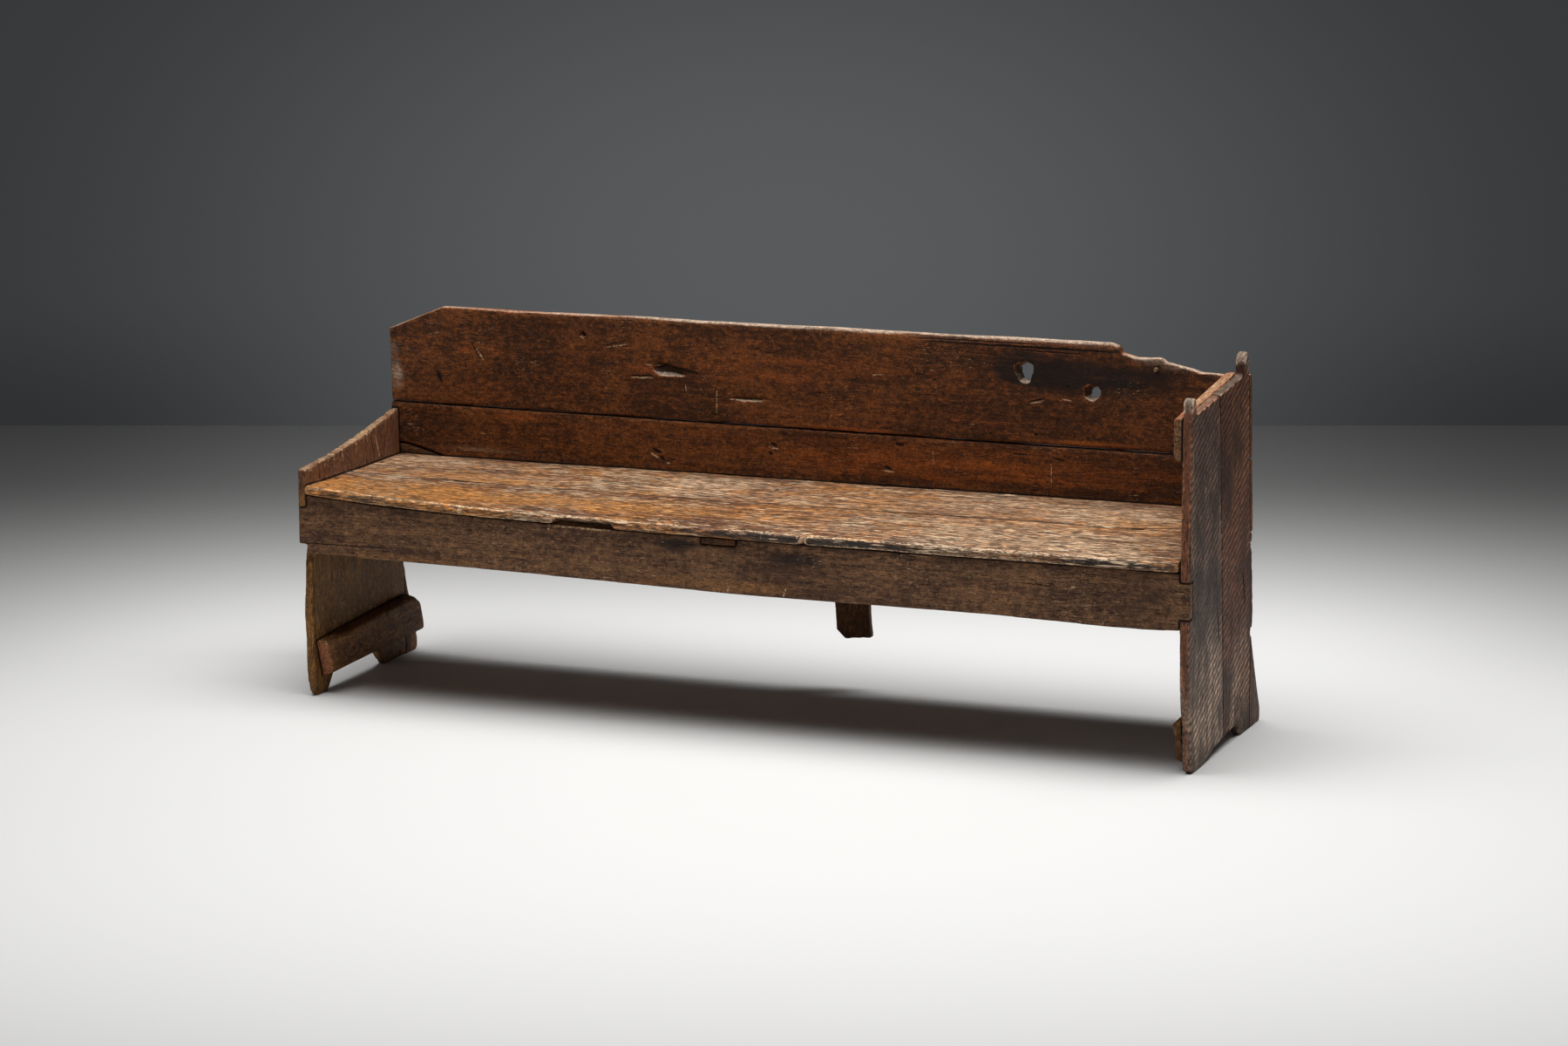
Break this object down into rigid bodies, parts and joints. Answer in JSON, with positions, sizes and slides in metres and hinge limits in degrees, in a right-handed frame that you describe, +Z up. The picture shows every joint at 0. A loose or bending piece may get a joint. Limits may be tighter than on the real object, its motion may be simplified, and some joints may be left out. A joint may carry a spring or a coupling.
{
  "type": "plank bench",
  "caption": "Old rustic plank bench with a low sweeping left arm, a tall lobed right end, a worn two-board seat and a nailed board back with knot holes.",
  "frame": {"origin": "on the floor, under the middle of the bench's footprint box", "axes": "+X runs along the bench towards the tall end, -Y is the front, +Z is up"},
  "size_m": [1.9, 0.5382, 0.7785],
  "materials": {
    "end_oak": "old waxed, worn",
    "foot_oak": "old, dry and dusty",
    "apron_oak": "old waxed, worn",
    "seat_oak": "polished by wear",
    "back_oak": "old waxed, scratched",
    "raw_oak": "unfinished",
    "nail_iron": "rusted"
  },
  "bodies": {
    "root": {"left_end_board": "end_oak", "right_end_front_board": "end_oak", "right_end_rear_board": "end_oak", "right_arm_cleat": "end_oak", "left_rear_wedge": "foot_oak", "right_rear_wedge": "foot_oak", "left_batten": "foot_oak", "right_batten": "foot_oak", "apron": "apron_oak", "seat_front_board": "seat_oak", "seat_rear_board": "seat_oak", "back_upper_board": "back_oak", "back_middle_board": "back_oak", "back_filler_board": "back_oak", "back_lower_board": "back_oak", "back_batten_left": "raw_oak", "back_batten_middle": "raw_oak", "seat_bearer": "raw_oak", "seat_cleat_left": "raw_oak", "seat_cleat_right": "raw_oak", "rear_ledger": "raw_oak", "apron_peg": "raw_oak", "back_peg_stub": "raw_oak", "nail_apron_1": "nail_iron", "nail_apron_2": "nail_iron", "nail_arm_cleat_1": "nail_iron", "nail_arm_cleat_2": "nail_iron", "nail_back_1": "nail_iron", "nail_back_2": "nail_iron", "nail_back_3": "nail_iron", "nail_back_4": "nail_iron", "nail_back_5": "nail_iron", "nail_back_6": "nail_iron", "nail_back_7": "nail_iron", "nail_back_batten_1": "nail_iron", "nail_back_batten_2": "nail_iron", "nail_back_batten_3": "nail_iron", "nail_back_batten_4": "nail_iron", "nail_back_batten_5": "nail_iron", "nail_back_batten_6": "nail_iron", "nail_ledger_1": "nail_iron", "nail_ledger_2": "nail_iron", "nail_left_batten_1": "nail_iron", "nail_left_batten_2": "nail_iron", "nail_left_batten_3": "nail_iron", "nail_right_batten_1": "nail_iron", "nail_right_batten_2": "nail_iron", "nail_seat_1": "nail_iron", "nail_seat_2": "nail_iron", "nail_seat_3": "nail_iron", "nail_seat_4": "nail_iron", "nail_seat_5": "nail_iron", "nail_seat_6": "nail_iron", "nail_seat_cleat_1": "nail_iron", "nail_seat_cleat_2": "nail_iron", "nail_seat_cleat_3": "nail_iron", "nail_seat_cleat_4": "nail_iron"}
  },
  "joints": []
}
